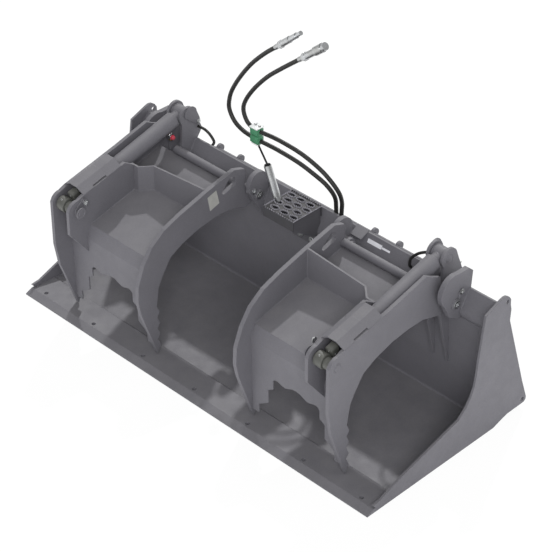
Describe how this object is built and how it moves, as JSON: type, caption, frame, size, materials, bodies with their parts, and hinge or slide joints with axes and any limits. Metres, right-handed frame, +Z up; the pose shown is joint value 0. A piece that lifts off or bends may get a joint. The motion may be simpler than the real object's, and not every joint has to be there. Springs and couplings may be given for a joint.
{
  "type": "grapple bucket",
  "caption": "Skid steer grapple bucket: folded bucket with side plates, rear coupling plate, step and hydraulic jaws that swing up to open.",
  "frame": {"origin": "middle of the bucket's footprint on the ground, half way between the cutting edge's tip and the rearmost edge", "axes": "+X to the right along the cutting edge, +Y from the cutting edge to the coupling plate, +Z up"},
  "size_m": [1.981, 0.923, 1.417],
  "materials": {
    "bucket_paint": "semi-gloss dark grey paint",
    "grapple_paint": "semi-gloss dark grey paint",
    "cylinder_paint": "semi-gloss dark grey paint",
    "pin_steel": "plain turned steel",
    "zinc": "zinc plated",
    "rod_chrome": "polished",
    "eye_steel": "bare forged steel",
    "fitting_brass": "plain",
    "hose_rubber": "matt black",
    "spring_black": "black oxide",
    "clamp_green": "moulded"
  },
  "bodies": {
    "bucket": {"bucket_shell": "bucket_paint", "top_rail": "bucket_paint", "side_plate_left": "bucket_paint", "side_plate_right": "bucket_paint", "cutting_edge": "bucket_paint", "quick_attach_plate": "bucket_paint", "quick_attach_hook": "bucket_paint", "quick_attach_flange": "bucket_paint", "quick_attach_gussets": "bucket_paint", "pivot_ear_inner_left": "bucket_paint", "pivot_ear_inner_right": "bucket_paint", "pivot_ear_outer_left": "bucket_paint", "pivot_ear_outer_right": "bucket_paint", "clevis_ears_left": "bucket_paint", "clevis_ears_right": "bucket_paint", "pivot_pin_left": "pin_steel", "pivot_pin_right": "pin_steel", "base_pin_left": "pin_steel", "base_pin_right": "pin_steel", "hex_bolts": "zinc", "step_tread": "bucket_paint", "step_bracket": "bucket_paint", "hose_tube": "zinc", "hose_spring": "spring_black", "hose_clamp": "clamp_green", "rail_cover": "bucket_paint", "supply_hose_a": "hose_rubber", "supply_hose_b": "hose_rubber", "coupler_male": "zinc", "coupler_female": "zinc", "jumper_hose_left": "hose_rubber", "jumper_hose_right": "hose_rubber"},
    "grapple_left": {"tine_inner_left": "grapple_paint", "bay_plate_left": "grapple_paint", "tine_outer_left": "grapple_paint", "pan_sheet_left": "grapple_paint", "fence_left": "grapple_paint", "pivot_boss_left": "grapple_paint", "rear_tube_left": "grapple_paint", "rod_guard_left": "grapple_paint", "rod_pin_ends_left": "pin_steel"},
    "cylinder_left": {"barrel_left": "cylinder_paint", "gland_left": "pin_steel", "port_fitting_left": "fitting_brass"},
    "piston_left": {"rod_left": "rod_chrome", "rod_eye_left": "eye_steel"},
    "grapple_right": {"tine_inner_right": "grapple_paint", "bay_plate_right": "grapple_paint", "tine_outer_right": "grapple_paint", "pan_sheet_right": "grapple_paint", "fence_right": "grapple_paint", "pivot_boss_right": "grapple_paint", "rear_tube_right": "grapple_paint", "rod_guard_right": "grapple_paint", "rod_pin_ends_right": "pin_steel"},
    "cylinder_right": {"barrel_right": "cylinder_paint", "gland_right": "pin_steel", "port_fitting_right": "fitting_brass"},
    "piston_right": {"rod_right": "rod_chrome", "rod_eye_right": "eye_steel"}
  },
  "joints": [
    {"name": "grapple_left_pivot", "type": "hinge", "parent": "bucket", "child": "grapple_left", "pos_m": [-0.5285, 0.1785, 0.57], "axis": [-1, 0, 0], "range_deg": [0, 60]},
    {"name": "cylinder_left_tilt", "type": "hinge", "parent": "bucket", "child": "cylinder_left", "pos_m": [-0.72, 0.2155, 0.727], "axis": [-1, 0, 0], "range_deg": [0, 60]},
    {"name": "piston_left_slide", "type": "slide", "parent": "cylinder_left", "child": "piston_left", "axis": [0, 0.9682, 0.2501], "range_m": [0, 0.162]},
    {"name": "grapple_right_pivot", "type": "hinge", "parent": "bucket", "child": "grapple_right", "pos_m": [0.5285, 0.1785, 0.57], "axis": [-1, 0, 0], "range_deg": [0, 60]},
    {"name": "cylinder_right_tilt", "type": "hinge", "parent": "bucket", "child": "cylinder_right", "pos_m": [0.72, 0.2155, 0.727], "axis": [-1, 0, 0], "range_deg": [0, 60]},
    {"name": "piston_right_slide", "type": "slide", "parent": "cylinder_right", "child": "piston_right", "axis": [0, 0.9682, 0.2501], "range_m": [0, 0.162]}
  ],
  "couplings": [
    {"joint": "cylinder_left_tilt", "follows": "grapple_left_pivot", "ratio": 0.9844},
    {"joint": "piston_left_slide", "follows": "grapple_left_pivot", "m_per_rad": 0.15408},
    {"joint": "cylinder_right_tilt", "follows": "grapple_right_pivot", "ratio": 0.9844},
    {"joint": "piston_right_slide", "follows": "grapple_right_pivot", "m_per_rad": 0.15408}
  ]
}
